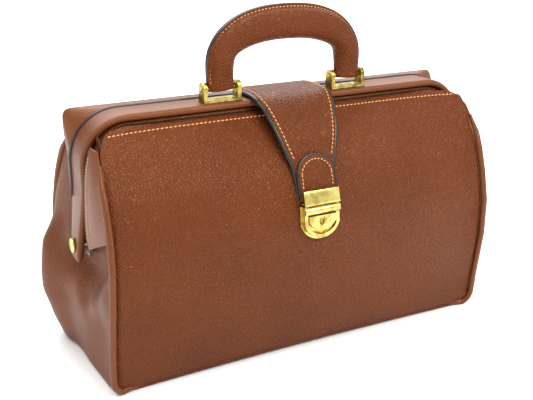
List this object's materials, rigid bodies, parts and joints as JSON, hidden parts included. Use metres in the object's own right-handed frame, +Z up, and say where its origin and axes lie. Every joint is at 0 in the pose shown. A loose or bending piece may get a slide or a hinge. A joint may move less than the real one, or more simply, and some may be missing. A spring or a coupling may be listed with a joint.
{
  "type": "doctor bag",
  "caption": "Leather doctor bag with a hinged double frame that opens wide, a padded top handle on brackets, and a closing strap with a brass lock.",
  "frame": {"origin": "middle of the flat bottom", "axes": "+X along the length to the right seen from the front, +Y to the back, +Z up; the jaws meet in the plane Y = 0"},
  "size_m": [0.3546, 0.154, 0.275],
  "materials": {
    "leather": "pebbled chestnut leather with a soft sheen",
    "smooth_leather": "finer-grained chestnut leather on the gussets and piping",
    "edge_leather": "stitched strap and handle leather with painted edges",
    "board": "brown fibre board and padding inside the leather",
    "steel": "plain steel of the frame and washers",
    "brass": "aged brass with a soft polish"
  },
  "bodies": {
    "body": {"bottom_panel": "leather", "front_lower_panel": "leather", "rear_lower_panel": "leather", "left_gusset": "smooth_leather", "right_gusset": "smooth_leather", "front_piping": "smooth_leather", "rear_piping": "smooth_leather", "base_board": "board", "front_panel_fold": "leather", "front_gusset_folds": "smooth_leather", "front_piping_folds": "smooth_leather", "rear_panel_fold": "leather", "rear_gusset_folds": "smooth_leather", "rear_piping_folds": "smooth_leather"},
    "front_jaw": {"front_upper_panel": "leather", "front_upper_gussets": "smooth_leather", "front_upper_piping": "smooth_leather", "front_frame": "steel", "front_jaw_cover": "leather", "front_frame_strip": "smooth_leather", "hinge_rivets": "brass", "hinge_washers": "steel", "left_bracket": "brass", "right_bracket": "brass", "bracket_pins": "brass", "bracket_screws": "steel", "lock_back_plate": "brass", "lock_inner_plate": "steel", "lock_case": "brass", "lock_bar": "brass"},
    "rear_jaw": {"rear_upper_panel": "leather", "rear_upper_gussets": "smooth_leather", "rear_upper_piping": "smooth_leather", "rear_frame": "steel", "rear_jaw_cover": "leather", "rear_frame_strip": "smooth_leather", "hinge_plates": "steel", "hinge_plate_pins": "steel", "strap_anchor": "edge_leather"},
    "strap": {"strap": "edge_leather", "strap_tab": "edge_leather", "strap_plate": "brass"},
    "handle": {"handle_core": "board", "handle_cover": "edge_leather"},
    "lock_slider": {"lock_slider": "brass"},
    "lock_cylinder": {"lock_cylinder": "brass"}
  },
  "joints": [
    {"name": "front_jaw_hinge", "type": "hinge", "parent": "body", "child": "front_jaw", "pos_m": [0, -0.008, 0.103], "axis": [1, 0, 0], "range_deg": [0, 32], "deforming": ["front_panel_fold", "front_gusset_folds", "front_piping_folds"]},
    {"name": "rear_jaw_hinge", "type": "hinge", "parent": "body", "child": "rear_jaw", "pos_m": [0, -0.008, 0.103], "axis": [1, 0, 0], "range_deg": [-32, 0], "deforming": ["rear_panel_fold", "rear_gusset_folds", "rear_piping_folds"]},
    {"name": "strap_hinge", "type": "hinge", "parent": "rear_jaw", "child": "strap", "pos_m": [0, 0.003, 0.2053], "axis": [1, 0, 0], "range_deg": [-64, 0]},
    {"name": "handle_hinge", "type": "hinge", "parent": "front_jaw", "child": "handle", "pos_m": [0, -0.018, 0.2135], "axis": [1, 0, 0], "range_deg": [-70, 70]},
    {"name": "lock_slide", "type": "slide", "parent": "front_jaw", "child": "lock_slider", "axis": [0, -0.1005, -0.9949], "range_m": [0, 0.003], "stiffness_N_per_m": 400},
    {"name": "key_turn", "type": "hinge", "parent": "lock_slider", "child": "lock_cylinder", "pos_m": [0, -0.07263, 0.11459], "axis": [0, -0.9949, 0.1005], "range_deg": [0, 90]}
  ],
  "couplings": [
    {"joint": "rear_jaw_hinge", "follows": "front_jaw_hinge", "ratio": -1},
    {"joint": "strap_hinge", "follows": "front_jaw_hinge", "ratio": -2}
  ]
}
